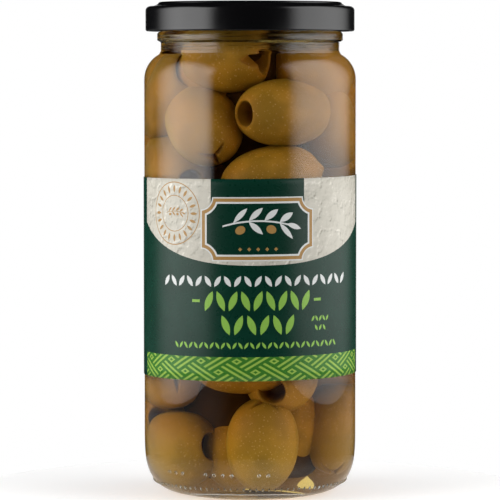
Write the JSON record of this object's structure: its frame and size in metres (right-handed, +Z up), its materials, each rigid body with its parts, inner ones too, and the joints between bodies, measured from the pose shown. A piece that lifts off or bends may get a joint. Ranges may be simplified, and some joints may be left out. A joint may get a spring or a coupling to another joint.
{
  "type": "jar of olives",
  "caption": "Shut glass jar with a round shoulder and heel, a black twist-off lid, a wrap-round paper label and a heap of pitted green olives inside.",
  "frame": {"origin": "centre of the ring that the jar stands on, on the table", "axes": "+Z up along the jar's axis, -Y towards the front of the label, +X to the right seen from the front"},
  "size_m": [0.0704, 0.0704, 0.1624],
  "materials": {
    "glass": "clear, smooth",
    "lid": "satin black enamel",
    "label": "coated paper, printed, satin",
    "olives": "waxy olive skin, wet"
  },
  "bodies": {
    "root": {"jar": "glass", "lid": "lid", "label": "label", "olives": "olives"}
  },
  "joints": []
}
